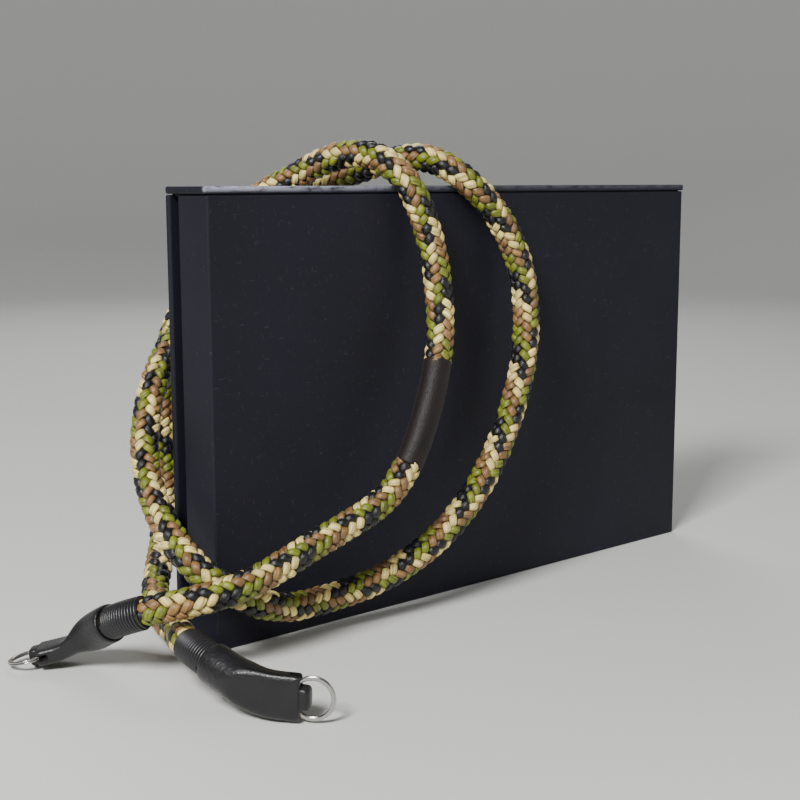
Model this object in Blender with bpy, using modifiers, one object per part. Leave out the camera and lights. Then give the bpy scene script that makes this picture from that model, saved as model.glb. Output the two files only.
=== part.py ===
"""A braided camera neck strap draped twice over an upright book-style box.

Frame: metres, +Z up. The origin is the middle of the box's foot, X runs along
the box's face and -Y is the side that the strap's free ends come round to.
"""
from math import cos, pi, radians, sin

import bmesh
import bpy
import numpy as np
from mathutils import Matrix, Vector

MM = 0.001

# Clearance that every seated or threaded pair keeps.
GAP = 0.3 * MM

# Box: a tray standing on its long edge, with a cover board along its top and its back.
BOX_WIDTH = 237.0 * MM
BOX_DEPTH = 23.3 * MM
BOX_HEIGHT = 149.6 * MM
COVER_THICKNESS = 2.4 * MM
COVER_OVERHANG = 0.8 * MM
TRAY_DEPTH = 17.0 * MM
BOX_EDGE_RADIUS = 0.6 * MM

# Rope: ordinary diameter, and the diameters it is squeezed to under its fittings.
ROPE_DIAMETER = 10.0 * MM
ROPE_IN_END = 8.6 * MM
ROPE_IN_SLEEVE = 7.0 * MM
SQUEEZE_STEP = 0.6 * MM
COLLAR_BENDS = 4
COLLAR_LEAD = 0.5 * MM

# Sleeve in the middle of the strap.
SLEEVE_LENGTH = 38.0 * MM
SLEEVE_START = 148.5 * MM
SLEEVE_WALL = 1.0 * MM

# Leather end, measured along the strap from the eye, where the ring's wire crosses it:
# a flat tab, a round cuff, then thread whipping up to the bare rope.
TAB_LENGTH = 12.0 * MM
CUFF_LENGTH = 16.0 * MM
WHIPPING_LENGTH = 14.7 * MM
WHIPPING_WALL = 0.8 * MM
LEATHER_WALL = 1.5 * MM
ROPE_INSERT = 11.0 * MM
BORE_BOTTOM_CLEARANCE = 1.0 * MM
TAB_WIDTH = 13.5 * MM
TAB_THICKNESS = 5.6 * MM
SHOULDER_REACH = 2.5 * MM
TONGUE_LENGTH = 3.0 * MM
TONGUE_WIDTH = 6.8 * MM
SLOT_HEIGHT = 2.0 * MM
LEATHER_SEGMENTS = 24

# Split ring.
RING_DIAMETER = 13.3 * MM
RING_WIRE = 1.3 * MM
RING_SEGMENTS = 32
RING_WIRE_SEGMENTS = 8

# How each leather end is rolled about its own length, from lying flat.
LEFT_ROLL = radians(4.0)
FRONT_ROLL = radians(90.0)

# Centre line of the whole strap, from one eye to the other, in millimetres. It rises
# up the face, goes over the box, loops behind it, comes round the left side, and does
# the same again further to the right.
ROUTE = (
    (-164.8, 13.6, 4.3),
    (-159.8, 9.8, 6.0),
    (-155.0, 2.0, 11.4),
    (-152.8, -10.5, 18.2),
    (-148.3, -21.6, 22.7),
    (-139.5, -28.9, 25.2),
    (-126.0, -33.5, 27.5),
    (-92.0, -33.5, 37.0),
    (-62.0, -34.5, 50.0),
    (-48.0, -34.0, 70.5),
    (-36.5, -29.5, 99.0),
    (-34.0, -24.0, 124.0),
    (-36.0, -20.5, 139.0),
    (-41.0, -16.4, 151.9),
    (-45.0, -6.5, 159.4),
    (-50.5, 8.0, 159.8),
    (-57.0, 24.0, 153.0),
    (-72.5, 40.0, 139.0),
    (-83.6, 46.0, 115.2),
    (-102.5, 38.0, 93.9),
    (-116.5, 28.0, 79.6),
    (-125.5, 17.0, 59.0),
    (-129.0, -1.0, 41.0),
    (-125.0, -18.5, 28.0),
    (-113.0, -24.0, 19.5),
    (-98.0, -22.5, 13.7),
    (-81.0, -21.5, 12.8),
    (-61.5, -24.0, 15.7),
    (-39.0, -29.0, 26.5),
    (-17.0, -31.5, 47.0),
    (-1.5, -30.5, 71.0),
    (9.0, -26.5, 101.0),
    (8.0, -22.5, 124.0),
    (-1.5, -19.5, 141.0),
    (-13.0, -16.0, 152.3),
    (-21.0, -6.5, 158.9),
    (-27.5, 8.0, 158.2),
    (-37.0, 25.0, 152.5),
    (-57.0, 49.0, 139.0),
    (-76.0, 64.0, 112.0),
    (-89.0, 66.0, 77.0),
    (-95.0, 57.0, 42.0),
    (-109.0, 37.0, 21.0),
    (-123.0, 17.0, 10.0),
    (-129.5, -7.0, 8.2),
    (-136.5, -20.5, 11.4),
    (-141.6, -31.5, 13.9),
    (-144.6, -45.0, 14.2),
    (-142.6, -59.0, 10.6),
    (-138.8, -69.0, 8.1),
    (-134.4, -74.8, 7.6),
)

# Outline of the leather from its tip to the rope, as shares of the named sizes.
# zone picks the length and width that the shares belong to; rounding goes from
# the flat tab (0) to the round cuff (1).
LEATHER_OUTLINE = (
    # zone, along, width, thickness, rounding
    ("tongue", 0.0, 0.62, 0.66, 0.0),
    ("tongue", 0.12, 0.86, 0.88, 0.0),
    ("tongue", 0.3, 1.0, 1.0, 0.0),
    ("tongue", 1.0, 1.0, 1.0, 0.0),
    ("tab", 0.02, 0.93, 1.0, 0.0),
    ("tab", 0.08, 1.0, 1.0, 0.0),
    ("tab", 0.42, 1.0, 1.0, 0.0),
    ("tab", 0.72, 1.0, 1.0, 0.0),
    ("tab", 1.0, 1.0, 1.0, 0.06),
    ("cuff", 0.14, 1.0, 1.0, 0.4),
    ("cuff", 0.28, 1.0, 1.0, 0.8),
    ("cuff", 0.4, 1.0, 1.0, 1.0),
)
RIM_ROUNDING = 0.5 * MM


def clear_scene():
    for thing in list(bpy.data.objects):
        bpy.data.objects.remove(thing, do_unlink=True)


def new_collection(name):
    group = bpy.data.collections.new(name)
    bpy.context.scene.collection.children.link(group)
    return group


def principled(name, colour, roughness, metallic=0.0):
    finish = bpy.data.materials.new(name)
    finish.use_nodes = True
    shader = finish.node_tree.nodes["Principled BSDF"]
    shader.inputs["Base Color"].default_value = (*colour, 1.0)
    shader.inputs["Roughness"].default_value = roughness
    shader.inputs["Metallic"].default_value = metallic
    return finish


def place(thing, group, finish):
    for other in list(thing.users_collection):
        other.objects.unlink(thing)
    group.objects.link(thing)
    thing.data.materials.clear()
    thing.data.materials.append(finish)
    return thing


class CentreLine:
    """Natural cubic curve through the route, read by distance from the left eye."""

    SAMPLES = 4000

    def __init__(self, points):
        self.knots = np.array(points, float) * MM
        steps = np.linalg.norm(np.diff(self.knots, axis=0), axis=1)
        self.at_knot = np.concatenate([[0.0], np.cumsum(steps)])
        self.bend = self.second_derivatives(steps)
        self.grid = np.linspace(0.0, self.at_knot[-1], self.SAMPLES)
        line = np.array([self.raw(t) for t in self.grid])
        pieces = np.linalg.norm(np.diff(line, axis=0), axis=1)
        self.distance = np.concatenate([[0.0], np.cumsum(pieces)])
        self.length = float(self.distance[-1])

    def second_derivatives(self, steps):
        count = len(self.knots)
        matrix = np.eye(count)
        target = np.zeros((count, 3))
        for i in range(1, count - 1):
            matrix[i, i - 1] = steps[i - 1]
            matrix[i, i] = 2.0 * (steps[i - 1] + steps[i])
            matrix[i, i + 1] = steps[i]
            slope_in = (self.knots[i] - self.knots[i - 1]) / steps[i - 1]
            slope_out = (self.knots[i + 1] - self.knots[i]) / steps[i]
            target[i] = 6.0 * (slope_out - slope_in)
        return np.linalg.solve(matrix, target)

    def raw(self, t):
        i = int(np.clip(np.searchsorted(self.at_knot, t) - 1, 0, len(self.knots) - 2))
        step = self.at_knot[i + 1] - self.at_knot[i]
        b = (t - self.at_knot[i]) / step
        a = 1.0 - b
        bent = ((a**3 - a) * self.bend[i] + (b**3 - b) * self.bend[i + 1]) * step**2 / 6.0
        return a * self.knots[i] + b * self.knots[i + 1] + bent

    def inside(self, s):
        return Vector(self.raw(float(np.interp(s, self.distance, self.grid))))

    def tangent(self, s, reach=0.4 * MM):
        before = self.inside(max(s - reach, 0.0))
        after = self.inside(min(s + reach, self.length))
        return (after - before).normalized()

    def point(self, s):
        """The point at a distance; past the eyes the line goes straight on."""
        over = min(s, 0.0) + max(s - self.length, 0.0)
        return self.inside(s) + self.tangent(s) * over

    def readings(self, start, stop, straight_step=75.0 * MM, turn_step=radians(20.0)):
        """Distances along the curve, closer together where it bends."""
        fine = np.linspace(start, stop, 1200)
        heading = [self.tangent(s) for s in fine]
        cost = [0.0]
        for i in range(1, len(fine)):
            turn = heading[i].angle(heading[i - 1], 0.0)
            cost.append(cost[-1] + (fine[i] - fine[i - 1]) / straight_step + turn / turn_step)
        count = int(cost[-1]) + 2
        return [float(s) for s in np.interp(np.linspace(0.0, cost[-1], count), cost, fine)]


def tube_object(name, line, stations, caps, resolution):
    """A round tube on a poly spline: stations are (distance, radius) pairs."""
    data = bpy.data.curves.new(name, "CURVE")
    data.dimensions = "3D"
    data.bevel_depth = 1.0
    data.bevel_resolution = resolution
    data.use_fill_caps = caps
    spline = data.splines.new("POLY")
    spline.points.add(len(stations) - 1)
    for point, (s, radius) in zip(spline.points, stations):
        point.co = (*line.point(s), 1.0)
        point.radius = radius
    thing = bpy.data.objects.new(name, data)
    bpy.context.scene.collection.objects.link(thing)
    return thing


def as_mesh(thing):
    """The same tube as a mesh object, with its end rings welded."""
    name = thing.name
    bpy.context.view_layer.update()
    evaluated = thing.evaluated_get(bpy.context.evaluated_depsgraph_get())
    mesh = bpy.data.meshes.new_from_object(evaluated)
    work = bmesh.new()
    work.from_mesh(mesh)
    bmesh.ops.remove_doubles(work, verts=work.verts, dist=0.01 * MM)
    work.to_mesh(mesh)
    work.free()
    solid = bpy.data.objects.new(name, mesh)
    solid.matrix_world = thing.matrix_world
    bpy.data.objects.remove(thing, do_unlink=True)
    solid.name = name
    return solid


def bends(start, stop):
    """Distances that a collar and the rope in it both bend at, square-ended by short leads."""
    step = (stop - start) / (COLLAR_BENDS - 1)
    middle = [start + step * i for i in range(1, COLLAR_BENDS - 1)]
    return [start, start + COLLAR_LEAD] + middle + [stop - COLLAR_LEAD, stop]


def make_rope(line, group, finish):
    half = ROPE_DIAMETER / 2
    thin = ROPE_IN_END / 2
    slim = ROPE_IN_SLEEVE / 2
    cuff_end = TAB_LENGTH + CUFF_LENGTH
    covered = cuff_end + GAP + WHIPPING_LENGTH
    end_part = [cuff_end - ROPE_INSERT, cuff_end - ROPE_INSERT / 2, cuff_end]
    end_part += bends(cuff_end + GAP, covered)[1:]
    end_part += [covered + GAP]
    start = covered + GAP + SQUEEZE_STEP
    stop = line.length - start
    sleeve_stop = SLEEVE_START + SLEEVE_LENGTH
    before = SLEEVE_START - GAP - SQUEEZE_STEP
    after = sleeve_stop + GAP + SQUEEZE_STEP
    stations = [(s, thin) for s in end_part]
    stations += [(s, half) for s in line.readings(start, before)]
    stations += [(SLEEVE_START - GAP, slim)]
    stations += [(s, slim) for s in bends(SLEEVE_START, sleeve_stop)[1:-1]]
    stations += [(sleeve_stop + GAP, slim)]
    stations += [(s, half) for s in line.readings(after, stop)]
    stations += [(line.length - s, thin) for s in reversed(end_part)]
    print("rope points", len(stations), "length", round(stations[-1][0] - stations[0][0], 4))
    return place(tube_object("rope", line, stations, True, 3), group, finish)


def make_collar(name, line, start, stop, inner, wall, group, finish):
    """A tube of a given wall that follows the strap between two distances."""
    stations = [(s, inner + wall) for s in bends(start, stop)]
    solid = as_mesh(tube_object(name, line, stations, False, 4))
    place(solid, group, finish)
    shell = solid.modifiers.new("wall", "SOLIDIFY")
    shell.thickness = wall
    shell.offset = -1.0
    shell.use_even_offset = True
    solid.data.shade_smooth()
    solid.data.set_sharp_from_angle(angle=radians(40.0))
    return solid


class StrapEnd:
    """One end of the strap, measured from its eye into the strap."""

    def __init__(self, line, from_left, roll):
        self.line = line
        self.eye = 0.0 if from_left else line.length
        self.sign = 1.0 if from_left else -1.0
        self.roll = roll

    def point(self, inward):
        return self.line.point(self.eye + self.sign * inward)

    def axes(self, inward):
        """Out of the strap, across the tab, and through its thickness."""
        out = self.line.tangent(self.eye + self.sign * inward) * -self.sign
        level = out.cross(Vector((0.0, 0.0, 1.0))).normalized()
        across = Matrix.Rotation(self.roll, 3, out) @ level
        return out, across, out.cross(across)

    def turn(self, inward):
        return Matrix(self.axes(inward)).transposed().to_4x4()


def section(work, end, inward, half_width, half_thickness, squareness):
    """One cross-section: an ellipse that turns into a rounded rectangle."""
    centre = end.point(inward)
    out, across, through = end.axes(inward)
    power = 2.0 / (2.0 + squareness)
    points = []
    for i in range(LEATHER_SEGMENTS):
        angle = 2.0 * pi * (i + 0.5) / LEATHER_SEGMENTS
        c, s = cos(angle), sin(angle)
        x = half_width * abs(c) ** power * (1 if c >= 0 else -1)
        y = half_thickness * abs(s) ** power * (1 if s >= 0 else -1)
        points.append(work.verts.new(centre + across * x + through * y))
    return points


def leather_sections():
    """Rows of distance, half width, half thickness and squareness, tip to rope."""
    cuff = ROPE_IN_END / 2 + GAP + LEATHER_WALL
    tab = SHOULDER_REACH + TAB_LENGTH
    zones = {
        "tongue": (-SHOULDER_REACH - TONGUE_LENGTH, TONGUE_LENGTH, TONGUE_WIDTH),
        "tab": (-SHOULDER_REACH, tab, TAB_WIDTH),
        "cuff": (TAB_LENGTH, CUFF_LENGTH, TAB_WIDTH),
    }
    rows = []
    for zone, along, width, thickness, rounding in LEATHER_OUTLINE:
        start, length, full = zones[zone]
        wide = full / 2 * width
        flat = TAB_THICKNESS / 2 * thickness
        half_width = wide + (cuff - wide) * rounding
        half_thickness = flat + (cuff - flat) * rounding
        rows.append((start + length * along, half_width, half_thickness, 3.0 * (1.0 - rounding)))
    rope_side = TAB_LENGTH + CUFF_LENGTH
    rows.append((rope_side - RIM_ROUNDING * 2.0, cuff, cuff, 0.0))
    rows.append((rope_side - RIM_ROUNDING * 0.5, cuff - RIM_ROUNDING * 0.2, cuff - RIM_ROUNDING * 0.2, 0.0))
    rows.append((rope_side, cuff - RIM_ROUNDING, cuff - RIM_ROUNDING, 0.0))
    return rows


def make_leather(name, end, group, cutters, finish):
    """Leather closed round the rope, flattened to a tab and slotted for the ring."""
    work = bmesh.new()
    rings = [section(work, end, *row) for row in leather_sections()]
    bore = ROPE_IN_END / 2 + GAP
    bore_depth = ROPE_INSERT + BORE_BOTTOM_CLEARANCE
    for depth in (0.0, ROPE_INSERT / 2, ROPE_INSERT, bore_depth):
        inward = TAB_LENGTH + CUFF_LENGTH - depth
        rings.append(section(work, end, inward, bore, bore, 0.0))
    for first, second in zip(rings, rings[1:]):
        for i in range(LEATHER_SEGMENTS):
            j = (i + 1) % LEATHER_SEGMENTS
            work.faces.new((first[i], first[j], second[j], second[i]))
    work.faces.new(list(reversed(rings[0])))
    work.faces.new(rings[-1])
    bmesh.ops.recalc_face_normals(work, faces=work.faces)
    mesh = bpy.data.meshes.new(name)
    work.to_mesh(mesh)
    work.free()
    solid = bpy.data.objects.new(name, mesh)
    place(solid, group, finish)

    # The slot runs from just behind the ring's wire to just past the tab's shoulders.
    behind = RING_WIRE / 2 + GAP
    beyond = SHOULDER_REACH + 0.3 * GAP
    middle = (behind - beyond) / 2
    bpy.ops.mesh.primitive_cube_add(size=1.0)
    cutter = bpy.context.object
    cutter.name = name + "_slot"
    size = Matrix.Diagonal((behind + beyond, 2.0 * TAB_WIDTH, SLOT_HEIGHT, 1.0))
    cutter.matrix_world = Matrix.Translation(end.point(middle)) @ end.turn(0.0) @ size
    cutter.display_type = "WIRE"
    cutter.hide_render = True
    for other in list(cutter.users_collection):
        other.objects.unlink(cutter)
    cutters.objects.link(cutter)
    cut = solid.modifiers.new("slot", "BOOLEAN")
    cut.operation = "DIFFERENCE"
    cut.object = cutter
    solid.data.shade_smooth()
    solid.data.set_sharp_from_angle(angle=radians(35.0))
    return solid


def make_ring(name, end, group, finish):
    """A split ring whose wire crosses the eye, level with the slot."""
    radius = (RING_DIAMETER - RING_WIRE) / 2
    bpy.ops.mesh.primitive_torus_add(
        major_segments=RING_SEGMENTS,
        minor_segments=RING_WIRE_SEGMENTS,
        major_radius=radius,
        minor_radius=RING_WIRE / 2,
    )
    ring = bpy.context.object
    ring.name = name
    out = end.axes(0.0)[0]
    ring.matrix_world = Matrix.Translation(end.point(0.0) + out * radius) @ end.turn(0.0)
    ring.data.shade_smooth()
    return place(ring, group, finish)


def make_slab(name, low, high, group, finish):
    """A board with softened edges between two corners."""
    bpy.ops.mesh.primitive_cube_add(size=1.0)
    slab = bpy.context.object
    slab.name = name
    centre = (Vector(low) + Vector(high)) / 2
    size = Vector(high) - Vector(low)
    slab.data.transform(Matrix.Diagonal((*size, 1.0)))
    slab.location = centre
    soft = slab.modifiers.new("edges", "BEVEL")
    soft.width = BOX_EDGE_RADIUS
    soft.segments = 2
    return place(slab, group, finish)


def make_box(group, finish):
    half = BOX_WIDTH / 2
    front = -BOX_DEPTH / 2
    under_top = BOX_HEIGHT - COVER_THICKNESS
    side = half - COVER_OVERHANG
    tray_high = (side, front + TRAY_DEPTH, under_top - GAP)
    make_slab("box_tray", (-side, front, 0.0), tray_high, group, finish)
    board_low = (-half, -front - COVER_THICKNESS, 0.0)
    make_slab("box_back_board", board_low, (half, -front, under_top - GAP), group, finish)
    top_high = (half, -front, BOX_HEIGHT)
    make_slab("box_top_board", (-half, front, under_top), top_high, group, finish)


def main():
    clear_scene()
    group = new_collection("camera_neck_strap_on_box")
    cutters = new_collection("cutters")
    paper = principled("dark_book_paper", (0.012, 0.012, 0.02), 0.75)
    cord = principled("camouflage_cord", (0.25, 0.22, 0.08), 0.6)
    leather = principled("black_leather", (0.012, 0.011, 0.011), 0.5)
    brown = principled("brown_leather", (0.03, 0.02, 0.016), 0.55)
    thread = principled("black_thread", (0.02, 0.02, 0.022), 0.6)
    steel = principled("plated_steel", (0.75, 0.75, 0.74), 0.2, 1.0)
    line = CentreLine(ROUTE)
    print("centre line", round(line.length, 4))
    make_box(group, paper)
    make_rope(line, group, cord)
    bore = ROPE_IN_SLEEVE / 2 + GAP
    stop = SLEEVE_START + SLEEVE_LENGTH
    make_collar("middle_sleeve", line, SLEEVE_START, stop, bore, SLEEVE_WALL, group, brown)
    bore = ROPE_IN_END / 2 + GAP
    near = TAB_LENGTH + CUFF_LENGTH + GAP
    far = near + WHIPPING_LENGTH
    for side, from_left, roll in (("left", True, LEFT_ROLL), ("front", False, FRONT_ROLL)):
        end = StrapEnd(line, from_left, roll)
        span = sorted((end.eye + end.sign * near, end.eye + end.sign * far))
        make_collar(side + "_whipping", line, *span, bore, WHIPPING_WALL, group, thread)
        make_leather(side + "_leather_end", end, group, cutters, leather)
        make_ring(side + "_split_ring", end, group, steel)


main()
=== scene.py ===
# %% [markdown]
# # A braided camera neck strap, wound over its box
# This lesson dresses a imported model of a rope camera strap. The strap is a round braid of
# sixteen silky cords with leather ends and split rings. It is wound twice over a slim dark
# box that stands upright. The frame gives every node's place, so nothing here is moved.

# %% Load the frame
from functools import partial
from math import cos, pi, radians, sin, tau

import bmesh
import bpy
import numpy as np
from mathutils import Matrix, Vector


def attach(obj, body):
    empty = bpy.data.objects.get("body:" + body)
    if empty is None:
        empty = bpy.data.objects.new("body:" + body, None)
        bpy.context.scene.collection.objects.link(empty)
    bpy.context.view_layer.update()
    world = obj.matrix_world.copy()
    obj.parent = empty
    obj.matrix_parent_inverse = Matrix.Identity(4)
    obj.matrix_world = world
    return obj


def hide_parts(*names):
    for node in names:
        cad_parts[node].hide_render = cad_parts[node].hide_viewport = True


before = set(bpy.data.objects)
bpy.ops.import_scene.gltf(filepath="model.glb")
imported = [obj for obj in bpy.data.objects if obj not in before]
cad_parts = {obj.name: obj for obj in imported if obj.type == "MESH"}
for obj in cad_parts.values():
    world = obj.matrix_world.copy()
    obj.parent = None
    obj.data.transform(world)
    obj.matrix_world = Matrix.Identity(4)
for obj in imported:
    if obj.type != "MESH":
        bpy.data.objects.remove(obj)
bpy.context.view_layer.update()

MM = 0.001
UP = Vector((0.0, 0.0, 1.0))
print("nodes:", sorted(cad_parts))

# %% [markdown]
# The camera comes first, and it looks from where the photograph was taken.
# Its place, its heading and its lens were worked out from the box's edges. The height is
# that of the box's top, which is why the top board is seen edge-on.

# %% Camera
CAMERA_PLACE = Vector((-0.3521, -0.3729, 0.1500))
CAMERA_HEADING = Vector((0.6547, 0.7559, 0.0))
CAMERA_PITCH = radians(-8.95)
CAMERA_ROLL = radians(-0.16)
CAMERA_LENS = 61.6

camera = bpy.data.objects.new("camera", bpy.data.cameras.new("camera"))
camera.data.lens = CAMERA_LENS
camera.data.clip_start = 0.01
aim = CAMERA_HEADING.normalized() * cos(CAMERA_PITCH) + UP * sin(CAMERA_PITCH)
camera.matrix_world = (
    Matrix.Translation(CAMERA_PLACE)
    @ aim.to_track_quat("-Z", "Y").to_matrix().to_4x4()
    @ Matrix.Rotation(CAMERA_ROLL, 4, "Z")
)
bpy.context.scene.collection.objects.link(camera)
bpy.context.scene.camera = camera
print("camera looks along", [round(v, 3) for v in aim])

# %% [markdown]
# Materials and Geometry Nodes trees are both made of nodes. One small function adds a node,
# sets it and links it, so that each tree below reads as a list of what it does. Whatever
# opens a tree hands it over as `add`, already tied to that tree. A Map Range node's inputs
# always come in one order: the value, the range it comes from, and the range it is taken to.

# %% One function for every node
MATH, VECTOR, RANGE = "ShaderNodeMath", "ShaderNodeVectorMath", "ShaderNodeMapRange"
NOISE, RAMP, BUMP = "ShaderNodeTexNoise", "ShaderNodeValToRGB", "ShaderNodeBump"
SHADER, OUTPUT = "ShaderNodeBsdfPrincipled", "ShaderNodeOutputMaterial"


def add_node(tree, kind, inputs=(), **settings):
    """One node. Its inputs come in order or by name: nodes and outputs are linked, values set."""
    node = tree.nodes.new(kind)
    for name, value in settings.items():
        setattr(node, name, value)
    for key, given in inputs.items() if isinstance(inputs, dict) else enumerate(inputs):
        for value in given if isinstance(given, list) else [given]:
            if isinstance(value, bpy.types.Node):
                value = value.outputs[0]
            if isinstance(value, bpy.types.NodeSocket):
                tree.links.new(value, node.inputs[key])
            else:
                node.inputs[key].default_value = value
    return node


# %% [markdown]
# Colours are written as sRGB hex values, and one function turns them to the linear values
# that the sockets want. Every new object is linked to the scene in one place.


# %% Helpers for colours, materials and objects
def linear(hex_colour):
    """An sRGB hex value as the linear colour that a socket wants."""
    values = [int(hex_colour[i : i + 2], 16) / 255 for i in (1, 3, 5)]
    return (*[v / 12.92 if v <= 0.04045 else ((v + 0.055) / 1.055) ** 2.4 for v in values], 1.0)


def set_stops(ramp, *stops, interpolation="LINEAR"):
    """Give a colour ramp its stops, each a position and a hex colour."""
    ramp.color_ramp.interpolation = interpolation
    elements = ramp.color_ramp.elements
    while len(elements) < len(stops):
        elements.new(1.0)
    for element, (position, colour) in zip(elements, stops):
        element.position = position
        element.color = linear(colour)
    return ramp


def per_mm(size):
    """A texture scale that gives features of about this many millimetres."""
    return 1.0 / (size * MM)


def new_material(name):
    """An empty material, and add_node for its tree."""
    material = bpy.data.materials.new(name)
    material.use_nodes = True
    material.node_tree.nodes.clear()
    return material, partial(add_node, material.node_tree)


def linked(name, data):
    """A new object in the scene; a mesh still under work is finished first."""
    if isinstance(data, bmesh.types.BMesh):
        mesh = bpy.data.meshes.new(name)
        data.to_mesh(mesh)
        data.free()
        data = mesh
    thing = bpy.data.objects.new(name, data)
    bpy.context.scene.collection.objects.link(thing)
    return thing


print("mid grey in linear light:", round(linear("#808080")[0], 3))

# %% [markdown]
# The strap's centre line is the one that the model was made along: its points are listed,
# from eye to eye, and a natural cubic curve runs through them. Blender's own curves
# could do it, but they wouldn't give the very same line. It is sampled every millimetre, so
# that fine detail can be laid along it by real distance.

# %% The strap's centre line
ROUTE = (
    (-0.1648, 0.0136, 0.0043), (-0.1598, 0.0098, 0.0060), (-0.1550, 0.0020, 0.0114),
    (-0.1528, -0.0105, 0.0182), (-0.1483, -0.0216, 0.0227), (-0.1395, -0.0289, 0.0252),
    (-0.1260, -0.0335, 0.0275), (-0.0920, -0.0335, 0.0370), (-0.0620, -0.0345, 0.0500),
    (-0.0480, -0.0340, 0.0705), (-0.0365, -0.0295, 0.0990), (-0.0340, -0.0240, 0.1240),
    (-0.0360, -0.0205, 0.1390), (-0.0410, -0.0164, 0.1519), (-0.0450, -0.0065, 0.1594),
    (-0.0505, 0.0080, 0.1598), (-0.0570, 0.0240, 0.1530), (-0.0725, 0.0400, 0.1390),
    (-0.0836, 0.0460, 0.1152), (-0.1025, 0.0380, 0.0939), (-0.1165, 0.0280, 0.0796),
    (-0.1255, 0.0170, 0.0590), (-0.1290, -0.0010, 0.0410), (-0.1250, -0.0185, 0.0280),
    (-0.1130, -0.0240, 0.0195), (-0.0980, -0.0225, 0.0137), (-0.0810, -0.0215, 0.0128),
    (-0.0615, -0.0240, 0.0157), (-0.0390, -0.0290, 0.0265), (-0.0170, -0.0315, 0.0470),
    (-0.0015, -0.0305, 0.0710), (0.0090, -0.0265, 0.1010), (0.0080, -0.0225, 0.1240),
    (-0.0015, -0.0195, 0.1410), (-0.0130, -0.0160, 0.1523), (-0.0210, -0.0065, 0.1589),
    (-0.0275, 0.0080, 0.1582), (-0.0370, 0.0250, 0.1525), (-0.0570, 0.0490, 0.1390),
    (-0.0760, 0.0640, 0.1120), (-0.0890, 0.0660, 0.0770), (-0.0950, 0.0570, 0.0420),
    (-0.1090, 0.0370, 0.0210), (-0.1230, 0.0170, 0.0100), (-0.1295, -0.0070, 0.0082),
    (-0.1365, -0.0205, 0.0114), (-0.1416, -0.0315, 0.0139), (-0.1446, -0.0450, 0.0142),
    (-0.1426, -0.0590, 0.0106), (-0.1388, -0.0690, 0.0081), (-0.1344, -0.0748, 0.0076),
)
CURVE_SAMPLES = 12000
SAMPLE_STEP = 1.0 * MM


def natural_curve(points, count):
    """Points of the natural cubic curve through the route, by chord length."""
    knots = np.array(points)
    steps = np.linalg.norm(np.diff(knots, axis=0), axis=1)
    at = np.concatenate([[0.0], np.cumsum(steps)])
    matrix = np.eye(len(knots))
    target = np.zeros_like(knots)
    for i in range(1, len(knots) - 1):
        matrix[i, i - 1 : i + 2] = steps[i - 1], 2 * (steps[i - 1] + steps[i]), steps[i]
        slopes = np.diff(knots[i - 1 : i + 2], axis=0) / steps[i - 1 : i + 1, None]
        target[i] = 6 * (slopes[1] - slopes[0])
    bend = np.linalg.solve(matrix, target)
    t = np.linspace(0.0, at[-1], count)
    i = np.clip(np.searchsorted(at, t) - 1, 0, len(knots) - 2)
    b = ((t - at[i]) / steps[i])[:, None]
    a = 1 - b
    sway = ((a**3 - a) * bend[i] + (b**3 - b) * bend[i + 1]) * steps[i, None] ** 2 / 6
    return a * knots[i] + b * knots[i + 1] + sway


def evenly_spaced(points, step):
    """The same line with its points evenly spaced, and its length."""
    distance = np.concatenate([[0.0], np.cumsum(np.linalg.norm(np.diff(points, axis=0), axis=1))])
    even = np.linspace(0.0, distance[-1], int(distance[-1] / step) + 1)
    return np.stack([np.interp(even, distance, points[:, k]) for k in range(3)], 1), distance[-1]


centre_line, STRAP_LENGTH = evenly_spaced(natural_curve(ROUTE, CURVE_SAMPLES), SAMPLE_STEP)
print("strap from eye to eye:", round(STRAP_LENGTH, 4), "m")

# %% [markdown]
# Two ways to use the line follow. One gives the point at a distance from the left eye. The
# other makes a fine poly curve of a stretch, which Geometry Nodes can sample.


# %% Places and stretches along the strap
def at_distance(s):
    """The centre line's point at a distance from the left eye."""
    even = np.linspace(0.0, STRAP_LENGTH, len(centre_line))
    return Vector([np.interp(s, even, centre_line[:, k]) for k in range(3)])


def path_object(name, start, stop):
    """A fine poly curve along the strap between two distances."""
    data = bpy.data.curves.new(name, "CURVE")
    data.dimensions = "3D"
    count = max(int((stop - start) / SAMPLE_STEP), 8)
    spline = data.splines.new("POLY")
    spline.points.add(count - 1)
    for point, s in zip(spline.points, np.linspace(start, stop, count)):
        point.co = (*at_distance(s), 1.0)
    return linked(name, data)


ROPE_START = 17.0 * MM
WHIPPING_START = 28.3 * MM
WHIPPING_STOP = 43.0 * MM
SLEEVE_START = 148.5 * MM
SLEEVE_STOP = 186.5 * MM
print("the sleeve's middle is at", [round(v, 4) for v in at_distance((SLEEVE_START + SLEEVE_STOP) / 2)])

# %% [markdown]
# The rope is a round braid of sixteen cords, each passing over two and under two. Seen from
# outside it has eight columns of slanting floats that lean one way and the other by turns,
# a herringbone. One float is modelled once, as a low pillow that dives at both ends, in a
# flat, unrolled space: X along the rope, Y round it, Z away from the core. Two thousand
# copies of it make the rope, so it has only a few dozen faces.

# %% One float of the braid
FLOAT_HALF_LENGTH = 2.75 * MM
FLOAT_HALF_WIDTH = 1.56 * MM
FLOAT_ARCH = 0.75 * MM
FLOAT_CROWN = 0.85 * MM
FLOAT_SINK = 0.15 * MM
FLOAT_WRAP = radians(98)
FLOAT_SIDES = 5
# how far along the float, how wide, how high, as shares; the ends are blunt and dive
FLOAT_ROWS = (
    (-1.0, 0.62, -0.75), (-0.87, 0.86, -0.02), (-0.48, 1.0, 0.8), (0.0, 1.0, 1.0),
    (0.48, 1.0, 0.8), (0.87, 0.86, -0.02), (1.0, 0.62, -0.75),
)


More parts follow.
